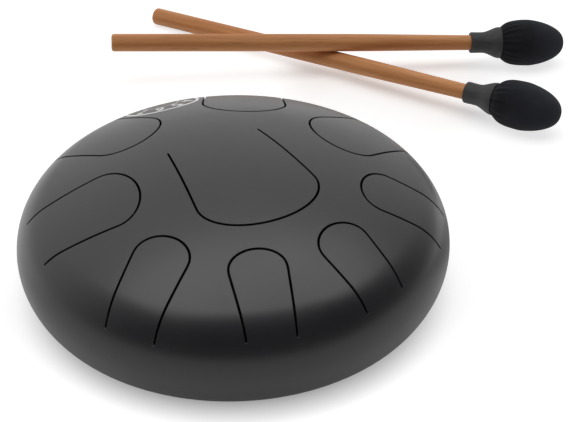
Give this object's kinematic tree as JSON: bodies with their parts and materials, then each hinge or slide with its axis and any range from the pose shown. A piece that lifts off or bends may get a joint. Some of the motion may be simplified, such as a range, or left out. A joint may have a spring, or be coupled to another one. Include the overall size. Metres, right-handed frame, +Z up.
{
  "type": "tongue drum",
  "caption": "Domed steel tongue drum on rubber feet, its top cut by curved slots into tuned tongues, with a pair of padded mallets crossed behind it.",
  "frame": {"origin": "on the floor, under the middle of the box round the drum and its two mallets", "axes": "+Z up through the drum's crown, +Y from the drum towards the mallets laid behind it, +X to the right as seen from the front"},
  "size_m": [0.2986, 0.3644, 0.0716],
  "materials": {
    "powder_coat": "satin charcoal-black powder coat",
    "foot_rubber": "matte",
    "stained_wood": "stained and lacquered, straight grain",
    "sleeve_rubber": "matte",
    "head_fabric": "black knitted cloth, gathered at the neck",
    "core_rubber": "soft",
    "binding_thread": "waxed thread"
  },
  "bodies": {
    "drum": {"upper_shell": "powder_coat", "lower_shell": "powder_coat", "seam_weld": "powder_coat", "foot_1": "foot_rubber", "foot_2": "foot_rubber", "foot_3": "foot_rubber", "foot_4": "foot_rubber"},
    "mallet_b": {"mallet_b_stick": "stained_wood", "mallet_b_core": "core_rubber", "mallet_b_cover": "head_fabric", "mallet_b_binding": "binding_thread", "mallet_b_sleeve": "sleeve_rubber"},
    "mallet_a": {"mallet_a_stick": "stained_wood", "mallet_a_core": "core_rubber", "mallet_a_cover": "head_fabric", "mallet_a_binding": "binding_thread", "mallet_a_sleeve": "sleeve_rubber"}
  },
  "joints": [
    {"name": "mallet_b_lift", "type": "slide", "parent": "drum", "child": "mallet_b", "axis": [0, 0, 1], "range_m": [0, 0.15]},
    {"name": "mallet_a_lift", "type": "slide", "parent": "mallet_b", "child": "mallet_a", "axis": [0, 0, 1], "range_m": [0, 0.15]}
  ]
}
